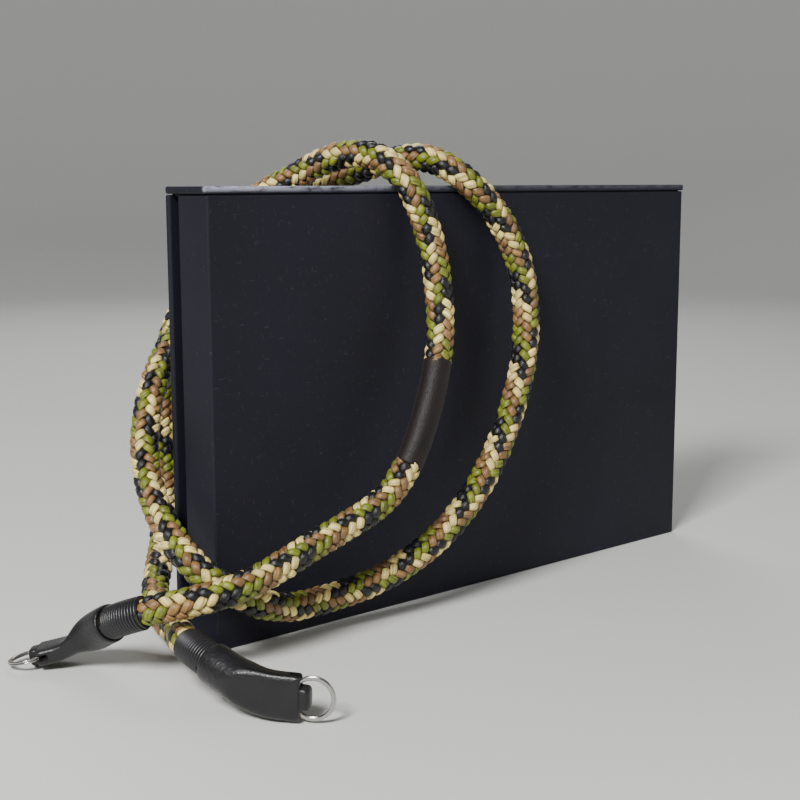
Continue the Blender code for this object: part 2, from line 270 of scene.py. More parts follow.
def float_object():
    """A closed, blunt pillow with a UV map in millimetres along and across it."""
    work = bmesh.new()
    uv = work.loops.layers.uv.new("cord_mm")
    rows, flat = [], {}
    for u, wide, high in FLOAT_ROWS:
        row = []
        for t in np.linspace(-1.0, 1.0, FLOAT_SIDES) * FLOAT_WRAP:
            rise = FLOAT_ARCH * high + FLOAT_CROWN * wide * cos(t) - FLOAT_SINK
            place = (FLOAT_HALF_LENGTH * u, FLOAT_HALF_WIDTH * wide * sin(t), rise)
            row.append(work.verts.new(place))
            flat[row[-1]] = (FLOAT_HALF_LENGTH * u / MM, FLOAT_HALF_WIDTH * t / MM)
        rows.append(row)
    for first, second in zip(rows, rows[1:]):
        for j in range(FLOAT_SIDES):
            k = (j + 1) % FLOAT_SIDES
            work.faces.new((first[j], second[j], second[k], first[k]))
    work.faces.new(list(reversed(rows[0])))
    work.faces.new(rows[-1])
    bmesh.ops.recalc_face_normals(work, faces=work.faces)
    for face in work.faces:
        face.smooth = True
        for loop in face.loops:
            loop[uv].uv = flat[loop.vert]
    return linked("float", work)


braid_float = float_object()
print("one float has", len(braid_float.data.polygons), "faces")

# %% [markdown]
# A synthetic cord is a bundle of thousands of fine filaments. They all run along the cord,
# so each float has a long soft glint and fine streaks. The gaps between floats are darkened
# with painted shade.
# The pattern is a common camouflage colouring: eight cord positions, two of each colour. An
# image could paint it, but the float's own number picks the colour here, so every float
# keeps one clean colour, and noise that is stretched along the cord streaks it.

# %% The braided cord's material
CORDS = 8
BLACK, OLIVE, TAN, CREAM = "#0A090D", "#777E18", "#8A673A", "#EDD684"
CORD_COLOURS = (BLACK, BLACK, OLIVE, OLIVE, TAN, TAN, CREAM, CREAM)
# A filament is a fiftieth of a millimetre thick. That is far too fine to show, so the
# streaks are drawn some 0.7 mm wide, as small bundles of filaments.
STREAKS_PER_MM = 1.35
STREAK_STRETCH = 0.16
NOISE_JUMP = 60.0


def braided_polyester():
    """Multifilament polyester, spun smooth, dyed in the yarn and braided under tension.

    To the eye: a silky glint across each float's crown, soft streaks along it, and a dark
    rim of painted shade where it dives under its neighbour.
    """
    material, add = new_material("braided_polyester_cord")
    number = add("ShaderNodeAttribute", attribute_name="cord_number").outputs["Fac"]
    shade = add("ShaderNodeAttribute", attribute_name="float_shade").outputs["Fac"]
    middle = add(MATH, (number, 0.5), operation="ADD")
    share = add(MATH, (middle, 1 / CORDS), operation="MULTIPLY")
    stops = [(i / CORDS, colour) for i, colour in enumerate(CORD_COLOURS)]
    dye = set_stops(add(RAMP, (share,)), *stops, interpolation="CONSTANT")

    # Each float reads the noise at a place of its own.
    uv = add("ShaderNodeUVMap", uv_map="cord_mm")
    jump = add("ShaderNodeCombineXYZ", {"Z": shade})
    jump = add(VECTOR, {0: jump, "Scale": NOISE_JUMP}, operation="SCALE")
    place = add(VECTOR, (uv, jump), operation="ADD")
    drawn_out = (STREAK_STRETCH, STREAKS_PER_MM, 1.0)
    place = add(VECTOR, (place, drawn_out), operation="MULTIPLY")
    filaments = add(NOISE, {"Vector": place, "Scale": 1.0, "Detail": 4.0, "Roughness": 0.65})
    streak = add(RANGE, (filaments, 0.34, 0.66, 0.45, 1.4))
    uneven = add(RANGE, (shade, 0.0, 1.0, 0.78, 1.15))

    # The rims get painted shade: first the ends, then the sides, in millimetres from the middle.
    along, across, _ = add("ShaderNodeSeparateXYZ", (uv,)).outputs
    rims = []
    for reach, start, stop, darkest in ((along, 1.7, 2.7, 0.35), (across, 1.4, 2.4, 0.45)):
        reach = add(MATH, (reach,), operation="ABSOLUTE")
        fall = (reach, start, stop, 1.0, darkest)
        rims.append(add(RANGE, fall, interpolation_type="SMOOTHSTEP"))
    painted_rim_shade = add(MATH, rims, operation="MULTIPLY")
    tone = add(MATH, (streak, uneven), operation="MULTIPLY")
    # The colour is the dye scaled by the streaks, the random tone and the painted rim shade.
    depth = add(MATH, (tone, painted_rim_shade), operation="MULTIPLY")
    coloured = add(VECTOR, {0: dye, "Scale": depth}, operation="SCALE")
    ridges = add(BUMP, {"Height": filaments, "Strength": 0.9, "Distance": 0.4 * MM})
    looks = {"Base Color": coloured, "Normal": ridges, "Roughness": 0.4, "IOR": 1.57}
    looks |= {"Sheen Weight": 0.08, "Sheen Roughness": 0.35}
    add(OUTPUT, {"Surface": add(SHADER, looks)})
    return material


def shadowed_core():
    """Undyed filling yarn under the braid, matt and dull; its colour is painted shade, seen only as the dark
    between floats.
    """
    material, add = new_material("filling_yarn_in_shadow")
    where = add("ShaderNodeTexCoord").outputs["Object"]
    noise = add(NOISE, {"Vector": where, "Scale": per_mm(1.1), "Detail": 2.0})
    tones = set_stops(add(RAMP, (noise,)), (0.0, "#0B0A0A"), (1.0, "#2A2318"))
    looks = {"Base Color": tones, "Roughness": 0.9}
    add(OUTPUT, {"Surface": add(SHADER, looks)})
    return material


cord_material = braided_polyester()
core_material = shadowed_core()
print("cord colours:", len(set(CORD_COLOURS)))

# %% [markdown]
# Geometry Nodes lay the braid, because it is one float that is repeated by a rule some two
# thousand times. A tree starts with named inputs, so that every size can be changed from
# outside. It runs on an object through a modifier, whose inputs are set by their sockets'
# identifiers. The result becomes a plain mesh, and the object with the modifier is thrown
# away, so that what is left exports as it looks.


# %% A tree's start and its end
def tree_with_inputs(name, inputs):
    """A Geometry Nodes tree, add_node for it, and its named inputs."""
    tree = bpy.data.node_groups.new(name, "GeometryNodeTree")
    for label, kind in {"Geometry": "Geometry", **inputs}.items():
        tree.interface.new_socket(label, in_out="INPUT", socket_type="NodeSocket" + kind)
    tree.interface.new_socket("Geometry", in_out="OUTPUT", socket_type="NodeSocketGeometry")
    return tree, partial(add_node, tree), add_node(tree, "NodeGroupInput").outputs


def evaluated_mesh(thing):
    """A plain mesh of what the object's modifiers make of it."""
    bpy.context.view_layer.update()
    evaluated = thing.evaluated_get(bpy.context.evaluated_depsgraph_get())
    return bpy.data.meshes.new_from_object(evaluated)


def through_tree(thing, tree, values, name):
    """The object's geometry through a tree, as a plain mesh object with no modifier."""
    modifier = thing.modifiers.new("tree", "NODES")
    modifier.node_group = tree
    for socket in tree.interface.items_tree:
        if socket.in_out == "INPUT" and socket.name in values:
            modifier[socket.identifier] = values[socket.name]
    mesh = evaluated_mesh(thing)
    for slot in reversed([i for i, m in enumerate(mesh.materials) if m is None]):
        mesh.materials.pop(index=slot)
    mesh.name = name
    bpy.data.objects.remove(thing, do_unlink=True)
    return linked(name, mesh)


# %% [markdown]
# The braid and the thread windings are both laid out flat and then rolled up, as paper is
# rolled round a pencil. X becomes the distance along the path, Y the angle round it and Z
# the height above the core. The path's own normals turn as little as they can, so the braid
# doesn't twist in the bends.


# %% Rolling flat work onto a path
def rolled_onto_path(add, path, radius, nominal, core, roll=0.0):
    """A position field that takes flat work (distance, way round, height) to the path."""
    flat = add("GeometryNodeInputPosition")
    distance, way_round, height = add("ShaderNodeSeparateXYZ", (flat,)).outputs
    sample = add("GeometryNodeSampleCurve", {"Curves": path, "Length": distance}, mode="LENGTH").outputs
    normal, tangent = sample["Normal"], sample["Tangent"]
    side = add(VECTOR, (tangent, normal), operation="CROSS_PRODUCT")
    angle = add(MATH, (way_round, nominal), operation="DIVIDE")
    angle = add(MATH, (angle, roll), operation="ADD")
    reach = add(MATH, (height, core), operation="ADD")
    reach = add(MATH, (reach, radius(distance)), operation="MULTIPLY")
    parts = []
    for way, turn in ((normal, "COSINE"), (side, "SINE")):
        share = add(MATH, (angle,), operation=turn)
        far = add(MATH, (reach, share), operation="MULTIPLY")
        parts.append(add(VECTOR, {0: way, "Scale": far}, operation="SCALE"))
    outward = add(VECTOR, parts, operation="ADD")
    return add(VECTOR, (sample["Position"], outward), operation="ADD")


# %% [markdown]
# The flat braid starts as a grid of points, a row for each pick and a column for each way
# round. Odd columns stand half a pick further on and lean the other way. A cord's colour is
# its number, and the number climbs one way in even columns and the other way in odd ones, as
# the carriers of a braiding machine run. Points under the sleeve are left out.

# %% Points for the floats
COLUMNS = 8
EVEN_START, ODD_LEAD = 2.0, 2.0
STORE, RANDOM = "GeometryNodeStoreNamedAttribute", "FunctionNodeRandomValue"
COMPARE = "FunctionNodeCompare"


def braid_points(add, size):
    """The grid of points, with each float's cord, shade and lean."""
    index = add("GeometryNodeInputIndex")
    pick = add(MATH, (index, COLUMNS), operation="DIVIDE")
    pick = add(MATH, (pick,), operation="FLOOR")
    column = add(MATH, (index, COLUMNS), operation="MODULO")
    odd = add(MATH, (column, 2.0), operation="MODULO")
    step = add(MATH, (odd, 0.5, pick), operation="MULTIPLY_ADD")
    distance = add(MATH, (step, size["Pick spacing"]), operation="MULTIPLY")
    way_round = add(MATH, (column, size["Column width"]), operation="MULTIPLY")
    grid = add("ShaderNodeCombineXYZ", (distance, way_round))
    count = add(MATH, (size["Picks"], COLUMNS), operation="MULTIPLY")
    points = add("GeometryNodePoints", {"Count": count, "Position": grid})

    # The way is -1 in even columns and 1 in odd ones.
    way = add(MATH, (odd, 2.0, -1.0), operation="MULTIPLY_ADD")
    climb = add(MATH, (column, way), operation="MULTIPLY")
    number = add(MATH, (pick, climb), operation="SUBTRACT")
    start = add(MATH, (odd, ODD_LEAD, EVEN_START), operation="MULTIPLY_ADD")
    number = add(MATH, (number, start), operation="ADD")
    number = add(MATH, (number, float(CORDS)), operation="FLOORED_MODULO")
    number = add(MATH, (number,), operation="ROUND")

    # A random number's range is in sockets 2 and 3, and from 0 to 1 unless they are set.
    shade = add(RANDOM, {"Seed": size["Seed"]}, data_type="FLOAT").outputs[1]
    seed = add(MATH, (size["Seed"], 1.0), operation="ADD")
    wobble = add(RANDOM, {2: -1.0, 3: 1.0, "Seed": seed}, data_type="FLOAT").outputs[1]
    wobble = add(MATH, (wobble, size["Unevenness"]), operation="MULTIPLY")
    lean = add(MATH, (way, size["Float angle"]), operation="MULTIPLY")
    lean = add(MATH, (lean, wobble), operation="ADD")
    lean = add("ShaderNodeCombineXYZ", {"Z": lean})
    for name, kind, value in (
        ("cord_number", "FLOAT", number),
        ("float_shade", "FLOAT", shade),
        ("lean", "FLOAT_VECTOR", lean),
    ):
        inputs = {"Geometry": points, "Name": name, "Value": value}
        points = add(STORE, inputs, data_type=kind, domain="POINT")

    after = add(COMPARE, (distance, size["Covered from"]), operation="GREATER_THAN")
    before = add(COMPARE, (distance, size["Covered to"]), operation="LESS_THAN")
    hidden = add("FunctionNodeBooleanMath", (after, before), operation="AND")
    return add("GeometryNodeDeleteGeometry", {"Geometry": points, "Selection": hidden}, domain="POINT")


# %% [markdown]
# A float is put on every point, turned by the point's lean. No two floats of a real braid
# pull tight by the same amount, so each is a few hundredths longer, wider or fatter than the
# next. Where the thread binds the rope, the braid is squeezed to six sevenths of its size.

# %% Floats, and the squeeze beside a binding
LEAST_PLUMP, MOST_PLUMP = (0.95, 0.93, 0.88), (1.06, 1.06, 1.12)
READ, REALIZE = "GeometryNodeInputNamedAttribute", "GeometryNodeRealizeInstances"


def braid_floats(add, size, points):
    """A float on each point, still flat, as real mesh."""
    lean = add(READ, {"Name": "lean"}, data_type="FLOAT_VECTOR")
    shape = add("GeometryNodeObjectInfo", {"Object": size["Float"]})
    seed = add(MATH, (size["Seed"], 2.0), operation="ADD")
    plump = add(RANDOM, {0: LEAST_PLUMP, 1: MOST_PLUMP, "Seed": seed}, data_type="FLOAT_VECTOR")
    inputs = {
        "Points": points,
        "Instance": shape.outputs["Geometry"],
        "Rotation": lean.outputs["Attribute"],
        "Scale": plump,
    }
    floats = add("GeometryNodeInstanceOnPoints", inputs)
    return add(REALIZE, (floats,))


def squeezed(add, pinches, at):
    """The braid's share of its full size at a distance along the path."""
    share = 1.0
    for edge, direction, reach, amount in pinches:
        away = add(MATH, (at, edge), operation="SUBTRACT")
        away = add(MATH, (away, direction), operation="MULTIPLY")
        rise = (away, 0.0, reach, amount, 1.0)
        eased = add(RANGE, rise, interpolation_type="SMOOTHSTEP")
        share = add(MATH, (share, eased), operation="MULTIPLY")
    return share


# %% [markdown]
# Inside the braid runs a filling of straight yarn. Here it is a plain tube along the same
# path, a little fatter than the depth to which the floats dive, so that no gap shows the
# inside. It carries a mark, by which the tree gives it its own finish at the very end: a
# near-black colour of painted shade, for the dark between the floats.

# %% The whole braid
NOMINAL_RADIUS = 4.7 * MM
CORE_RADIUS = 3.58 * MM
CORE_SPARE = 0.25 * MM
CORE_SIDES = 12
BRAID_SIZES = (
    "Pick spacing", "Column width", "Float angle", "Nominal radius", "Core radius", "Roll",
    "Unevenness", "Covered from", "Covered to",
)
BRAID_INPUTS = {"Float": "Object", "Picks": "Int", "Seed": "Int", **dict.fromkeys(BRAID_SIZES, "Float")}
CIRCLE, SWEEP = "GeometryNodeCurvePrimitiveCircle", "GeometryNodeCurveToMesh"
JOIN, DRESS = "GeometryNodeJoinGeometry", "GeometryNodeSetMaterial"


def braid_core(add, size, pinches):
    """The filling's tube, marked as core."""
    profile = add(CIRCLE, {"Resolution": CORE_SIDES, "Radius": 1.0})
    along = add("GeometryNodeSplineParameter").outputs["Length"]
    radius = add(MATH, (size["Core radius"], CORE_SPARE), operation="ADD")
    radius = add(MATH, (squeezed(add, pinches, along), radius), operation="MULTIPLY")
    inputs = {"Curve": size["Geometry"], "Profile Curve": profile, "Scale": radius, "Fill Caps": True}
    mark = {"Geometry": add(SWEEP, inputs), "Name": "is_core", "Value": 1.0}
    return add(STORE, mark, data_type="FLOAT", domain="POINT")


def braid_tree(pinches):
    """The braid on a path; pinches are (distance, direction, reach, share) of squeezed stretches."""
    tree, add, size = tree_with_inputs("braid_on_path", BRAID_INPUTS)
    place = rolled_onto_path(
        add,
        size["Geometry"],
        lambda at: squeezed(add, pinches, at),
        size["Nominal radius"],
        size["Core radius"],
        size["Roll"],
    )
    flat = braid_floats(add, size, braid_points(add, size))
    rolled = add("GeometryNodeSetPosition", {"Geometry": flat, "Position": place})
    both = add(JOIN, ([braid_core(add, size, pinches), rolled],))
    real = add(REALIZE, (both,))
    corded = add(DRESS, {"Geometry": real, "Material": cord_material})
    is_core = add(READ, {"Name": "is_core"}, data_type="FLOAT").outputs["Attribute"]
    inputs = {"Geometry": corded, "Selection": is_core, "Material": core_material}
    add("NodeGroupOutput", (add(DRESS, inputs),))
    return tree


# %% [markdown]
# Now the rope itself. It runs from inside one leather end to inside the other. The number
# of picks comes from its length and from their spacing of 3.56 mm, which was counted along
# the front strand in the photograph. The roll turns the braid to the columns seen there.

# %% The rope
PICK_SPACING = 3.56 * MM
COLUMN_WIDTH = tau * NOMINAL_RADIUS / COLUMNS
FLOAT_ANGLE = radians(55.0)
ROPE_STOP = STRAP_LENGTH - ROPE_START
ROPE_LENGTH = ROPE_STOP - ROPE_START
PINCH_REACH = 2.4 * MM
PINCH_SHARE = 0.86
PINCHES = (
    (WHIPPING_STOP - ROPE_START, 1.0, PINCH_REACH, PINCH_SHARE),
    (STRAP_LENGTH - WHIPPING_STOP - ROPE_START, -1.0, PINCH_REACH, PINCH_SHARE),
)
UNDER_RIM = 1.0 * MM
rope = through_tree(
    path_object("rope_path", ROPE_START, ROPE_STOP),
    braid_tree(PINCHES),
    {
        "Float": braid_float,
        "Pick spacing": PICK_SPACING,
        "Picks": int(ROPE_LENGTH / PICK_SPACING),
        "Column width": COLUMN_WIDTH,
        "Float angle": FLOAT_ANGLE,
        "Nominal radius": NOMINAL_RADIUS,
        "Core radius": CORE_RADIUS,
        "Roll": radians(10.0),
        "Unevenness": radians(5.0),
        "Covered from": SLEEVE_START - ROPE_START + UNDER_RIM,
        "Covered to": SLEEVE_STOP - ROPE_START - UNDER_RIM,
        "Seed": 7,
    },
    "braided_rope",
)
bpy.data.objects.remove(braid_float, do_unlink=True)
print("the rope has", sum(len(f.vertices) - 2 for f in rope.data.polygons), "triangles")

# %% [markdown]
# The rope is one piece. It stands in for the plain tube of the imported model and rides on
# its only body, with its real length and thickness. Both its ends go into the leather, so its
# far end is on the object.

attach(rope, "root")
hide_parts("rope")
print("cord declared:", round(ROPE_LENGTH, 3), "m")

# %% [markdown]
# Leather has a pebbled grain of fine cells, and softer creases where it is bent. The two
# dark leathers share one recipe. It mixes two close tones by a slow noise, raises the grain
# and the creases with bump, and lets the roughness follow the grain, so that the glints
# break up as they do on real hide.


# %% Leather
def leather(name, deep, worn, grain_mm, roughness, gloss):
    """Cowhide, dyed through, pressed and given a thin finish.

    To the eye: nearly black, with a glint that breaks up on the pebbled grain, and soft
    creases where the hide is bent. Real pores are a quarter of a millimetre apart, so the
    grain is drawn some two or three times as coarse to show at all.
    """
    material, add = new_material(name)
    where = add("ShaderNodeTexCoord").outputs["Object"]
    slow = add(NOISE, {"Vector": where, "Scale": per_mm(9.0), "Detail": 4.0})
    tones = set_stops(add(RAMP, (slow,)), (0.35, deep), (0.7, worn))
    cells = {"Vector": where, "Scale": per_mm(grain_mm), "Randomness": 0.9}
    grain = add("ShaderNodeTexVoronoi", cells, feature="SMOOTH_F1")
    creases = add(NOISE, {"Vector": where, "Scale": per_mm(3.2), "Detail": 5.0, "Distortion": 0.8})
    pebbles = add(BUMP, {"Height": grain, "Strength": 0.7, "Distance": 0.12 * MM}, invert=True)
    raised = {"Height": creases, "Strength": 0.6, "Distance": 0.22 * MM, "Normal": pebbles}
    folds = add(BUMP, raised)
    shine = add(RANGE, (grain, 0.0, 0.8, roughness - 0.07, roughness + 0.14))
    looks = {"Base Color": tones, "Normal": folds, "Roughness": shine, "IOR": 1.5}
    looks |= {"Specular IOR Level": gloss, "Sheen Weight": 0.05}
    add(OUTPUT, {"Surface": add(SHADER, looks)})
    return material


black_leather = leather("finished_black_cowhide", "#0A090B", "#161518", 0.75, 0.36, 0.5)
brown_leather = leather("matt_dark_brown_cowhide", "#0E0807", "#1C120F", 0.6, 0.55, 0.35)
print("leathers:", black_leather.name, brown_leather.name)

# %% [markdown]
# The fittings are lofts. Each is a row of closed sections that stand square to the strap's
# centre line. A section has a half width, a half thickness and a squareness, which turns an
# ellipse into a rounded rectangle. Past the eyes the line simply goes straight on.

# %% Sections along the strap
TANGENT_REACH = 0.6 * MM


def strap_tangent(s):
    """The centre line's direction at a distance from the left eye."""
    before, after = max(s - TANGENT_REACH, 0.0), min(s + TANGENT_REACH, STRAP_LENGTH)
    return (at_distance(after) - at_distance(before)).normalized()


def strap_point(s):
    """The centre line's point, with straight leads past both eyes."""
    over = min(s, 0.0) + max(s - STRAP_LENGTH, 0.0)
    inside = min(max(s, 0.0), STRAP_LENGTH)
    return at_distance(inside) + strap_tangent(inside) * over


class StrapEnd:
    """One end of the strap, measured from its eye inwards; roll 0 lies flat."""

    def __init__(self, name, eye, sign, roll):
        self.name, self.eye, self.sign, self.roll = name, eye, sign, roll

    def point(self, inward):
        return strap_point(self.eye + self.sign * inward)

    def axes(self, inward):
        """Out of the strap, across the tab and through its thickness."""
        along = min(max(self.eye + self.sign * inward, 0.0), STRAP_LENGTH)
        out = strap_tangent(along) * -self.sign
        across = Matrix.Rotation(self.roll, 3, out) @ out.cross(UP).normalized()
        return out, across, out.cross(across)


def section(centre, across, through, half_width, half_thickness, squareness, count):
    """A closed ring of points, from an ellipse to a rounded rectangle."""
    power = 2.0 / (2.0 + squareness)
    points = []
    for i in range(count):
        angle = tau * (i + 0.5) / count
        c, s = cos(angle), sin(angle)
        x = half_width * abs(c) ** power * (1 if c >= 0 else -1)
        y = half_thickness * abs(s) ** power * (1 if s >= 0 else -1)
        points.append(centre + across * x + through * y)
    return points


ENDS = (StrapEnd("left", 0.0, 1.0, radians(4.0)), StrapEnd("front", STRAP_LENGTH, -1.0, radians(90.0)))
print("the ends point", [[round(v, 2) for v in end.axes(0.0)[0]] for end in ENDS])

# %% [markdown]
# A loft joins its sections with faces. Most lofts are capped at both ends. One is wrapped,
# so that its last section meets its first and it becomes a tube with a wall. A finished
# piece then gets its material and its place in the frame.


# %% Lofts and their finish
def loft(name, sections, wrapped=False):
    """A smooth closed skin over rings of points; wrapped joins the last ring to the first."""
    work = bmesh.new()
    rings = [[work.verts.new(p) for p in ring] for ring in sections]
    for first, second in zip(rings, rings[1:] + rings[:1] * wrapped):
        for i in range(len(first)):
            j = (i + 1) % len(first)
            work.faces.new((first[i], first[j], second[j], second[i]))
    if not wrapped:
        work.faces.new(list(reversed(rings[0])))
        work.faces.new(rings[-1])
    bmesh.ops.recalc_face_normals(work, faces=work.faces)
    for face in work.faces:
        face.smooth = True
    return linked(name, work)


def dress(piece, node, material):
    """Give a piece its finish and its place in the frame."""
    piece.data.materials.clear()
    piece.data.materials.append(material)
    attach(piece, "root")
    if node:
        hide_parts(node)
    print(piece.name, "has", len(piece.data.polygons), "faces")
    return piece


# %% [markdown]
# A leather end is one strap of hide. It is closed round the rope as a cuff, pressed flat into
# a tab, and its narrow tongue is folded round the ring's wire. The numbers are its outline
# from the tip to the rope. The rows stand close where the shape turns, so that the cuff
# swells out of the tab without a facet. A slot is then cut for the ring, level with the tab.

# %% Leather ends
# distance from the eye, half width, half thickness, squareness, all in millimetres
LEATHER_ROWS = (
    (-5.5, 2.1, 1.5, 1.5), (-5.35, 2.6, 2.0, 2.0), (-5.0, 3.05, 2.5, 2.4), (-4.5, 3.3, 2.75, 2.6),
    (-3.8, 3.4, 2.8, 2.8), (-2.62, 3.4, 2.8, 2.8), (-2.52, 3.45, 2.8, 2.8), (-2.48, 6.0, 2.55, 2.8),
    (-2.3, 6.45, 2.72, 2.8), (-1.9, 6.68, 2.8, 2.8), (-1.0, 6.75, 2.8, 2.8), (1.0, 6.75, 2.8, 2.8),
    (4.0, 6.75, 2.8, 2.8), (7.0, 6.74, 2.85, 2.7), (9.5, 6.7, 3.0, 2.5), (11.5, 6.62, 3.4, 2.2),
    (13.0, 6.5, 3.95, 1.8), (14.5, 6.38, 4.6, 1.3), (16.0, 6.26, 5.25, 0.8), (17.5, 6.17, 5.75, 0.35),
    (19.0, 6.12, 6.0, 0.1), (21.0, 6.1, 6.1, 0.0), (26.6, 6.1, 6.1, 0.0), (27.4, 6.08, 6.08, 0.0),
    (27.8, 5.98, 5.98, 0.0), (28.0, 5.75, 5.75, 0.0), (28.0, 5.3, 5.3, 0.0), (27.7, 4.7, 4.7, 0.0),
    (26.0, 4.6, 4.6, 0.0),
)
ROW_STEP = 0.7
LEATHER_SIDES = 56
# distance inwards from the eye and half height of the slot, in millimetres
SLOT_ROWS = ((-2.75, 1.0), (0.55, 1.0), (0.8, 0.85), (0.95, 0.5), (1.0, 0.1))
TAB_HALF_WIDTH = 6.75
FOLD_ANGLE = radians(38.0)


def slot_cutter(end):
    """A bar with a rounded nose, twice as wide as the tab."""
    out, across, through = end.axes(0.0)
    sections = []
    for inward, half in SLOT_ROWS:
        centre = end.point(0.0) - out * inward * MM
        high, wide = through * half * MM, across * 2 * TAB_HALF_WIDTH * MM
        corners = ((1, 1), (-1, 1), (-1, -1), (1, -1))
        sections.append([centre + wide * a + high * b for a, b in corners])
    return loft("slot_cutter", sections)


def leather_end(end):
    """The hide's loft with the ring's slot cut through the tab's end."""
    rows = []
    for first, second in zip(LEATHER_ROWS, LEATHER_ROWS[1:]):
        steps = max(1, int(abs(second[0] - first[0]) / ROW_STEP))
        for k in range(steps):
            rows.append([a + (b - a) * k / steps for a, b in zip(first, second)])
    rows.append(LEATHER_ROWS[-1])
    sections = []
    for inward, width, thickness, squareness in rows:
        _, across, through = end.axes(inward * MM)
        centre, sizes = end.point(inward * MM), (width * MM, thickness * MM, squareness)
        sections.append(section(centre, across, through, *sizes, LEATHER_SIDES))
    piece = loft(end.name + "_leather", sections)
    cutter = slot_cutter(end)
    cut = piece.modifiers.new("slot", "BOOLEAN")
    cut.operation = "DIFFERENCE"
    cut.object = cutter
    mesh = evaluated_mesh(piece)
    piece.modifiers.clear()
    piece.data = mesh
    bpy.data.objects.remove(cutter, do_unlink=True)
    mesh.set_sharp_from_angle(angle=FOLD_ANGLE)
    return dress(piece, end.name + "_leather_end", black_leather)


for end in ENDS:
    leather_end(end)

# %% [markdown]
# The sleeve half-way is a short tube of matt brown-black hide, shrunk onto the rope. It
# covers the braid over 38 mm. Its rims are turned in a little. Slow ripples a few hundredths
# of a millimetre high stop its glint from being a straight line.

# %% Middle sleeve
SLEEVE_RADIUS = 4.85
SLEEVE_INSIDE = -0.95
SLEEVE_SIDES = 40
# distance from the rim and height over the sleeve's radius, in millimetres
RIM_ROWS = ((0.25, SLEEVE_INSIDE), (0.0, -0.6), (0.0, -0.35), (0.12, -0.12), (0.4, 0.0))


def sleeve():
    """A rimmed tube that follows the strap."""
    long = (SLEEVE_STOP - SLEEVE_START) / MM
    outside = np.arange(1.0, long - 0.9, 0.6)
    rows = list(RIM_ROWS)
    rows += [(x, 0.045 * sin(x * 0.9) + 0.03 * sin(x * 2.3 + 1.0)) for x in outside]
    rows += [(long - x, rise) for x, rise in reversed(RIM_ROWS)]
    rows += [(x, SLEEVE_INSIDE) for x in np.arange(long - 2.0, 1.0, -4.0)]
    sections = []
    for x, rise in rows:
        s = SLEEVE_START + x * MM
        out = strap_tangent(s)
        across = out.cross(UP).normalized()
        radius = (SLEEVE_RADIUS + rise) * MM
        sections.append(section(strap_point(s), across, out.cross(across), radius, radius, 0.0, SLEEVE_SIDES))
    tube = loft("dark_middle_sleeve", sections, wrapped=True)
    return dress(tube, "middle_sleeve", brown_leather)


sleeve()

# %% [markdown]
# Between the rope and the leather the braid is bound with waxed thread. Each binding is one
# thread a millimetre thick, wound tight in fourteen turns. The roll that carries the braid
# carries the winding too: in flat space the thread is a straight line, and each lap round
# the rope is one turn. Under it lies a plain tube, so that nothing shows between the turns.

# %% Wound thread
LAP_STEPS = 40
THREAD_SIDES = 10
TUBE_SIDES = 32


def waxed_thread():
    """Twisted black thread, drawn through wax and wound under tension.

    To the eye: a dull shine on every turn, with a mottle where the wax lies thicker.
    """
    material, add = new_material("waxed_black_thread")
    where = add("ShaderNodeTexCoord").outputs["Object"]
    wax = add(NOISE, {"Vector": where, "Scale": per_mm(0.35), "Detail": 3.0})
    tones = set_stops(add(RAMP, (wax,)), (0.0, "#0D0D0F"), (1.0, "#232226"))
    bump = add(BUMP, {"Height": wax, "Strength": 0.6, "Distance": 0.1 * MM})
    looks = {"Base Color": tones, "Normal": bump, "Roughness": 0.38, "IOR": 1.53}
    add(OUTPUT, {"Surface": add(SHADER, looks)})
    return material


thread_material = waxed_thread()


def winding_tree():
    """A thread wound round a path, over a plain tube."""
    sizes = ("Thread spacing", "Thread radius", "Winding radius")
    inputs = {"Turns": "Int", **dict.fromkeys(sizes, "Float")}
    tree, add, size = tree_with_inputs("thread_on_path", inputs)
    count = add(MATH, (size["Turns"], LAP_STEPS, 1.0), operation="MULTIPLY_ADD")
    line = add("GeometryNodeMeshLine", {"Count": count}, mode="OFFSET", count_mode="TOTAL")
    line = add("GeometryNodeMeshToCurve", {"Mesh": line})
    index = add("GeometryNodeInputIndex")
    lap = add(MATH, (index, float(LAP_STEPS)), operation="DIVIDE")
    along = add(MATH, (lap, 0.5), operation="ADD")
    along = add(MATH, (along, size["Thread spacing"]), operation="MULTIPLY")
    around = add(MATH, (lap, tau), operation="MULTIPLY")
    flat = add("ShaderNodeCombineXYZ", (along, around))
    laid = add("GeometryNodeSetPosition", {"Geometry": line, "Position": flat})
    path, radius = size["Geometry"], size["Winding radius"]
    place = rolled_onto_path(add, path, lambda at: 1.0, 1.0, radius)
    wound = add("GeometryNodeSetPosition", {"Geometry": laid, "Position": place})
    thin = add(CIRCLE, {"Resolution": THREAD_SIDES, "Radius": size["Thread radius"]})
    thread = add(SWEEP, {"Curve": wound, "Profile Curve": thin, "Fill Caps": True})
    wide = add(CIRCLE, {"Resolution": TUBE_SIDES, "Radius": radius})
    under = add(SWEEP, {"Curve": path, "Profile Curve": wide, "Fill Caps": True})
    both = add(JOIN, ([thread, under],))
    real = add(REALIZE, (both,))
    covered = add(DRESS, {"Geometry": real, "Material": thread_material})
    add("NodeGroupOutput", (covered,))
    return tree


THREAD_SPACING = 0.98
thread_on_path = winding_tree()
for end in ENDS:
    first, last = sorted(end.eye + end.sign * s for s in (WHIPPING_START, WHIPPING_STOP))
    winding = through_tree(
        path_object(end.name + "_binding_path", first, last),
        thread_on_path,
        {
            "Turns": round((last - first) / MM / THREAD_SPACING) - 1,
            "Thread spacing": THREAD_SPACING * MM,
            "Thread radius": 0.53 * MM,
            "Winding radius": 4.82 * MM,
        },
        end.name + "_binding",
    )
    for face in winding.data.polygons:
        face.use_smooth = True
    dress(winding, end.name + "_whipping", thread_material)

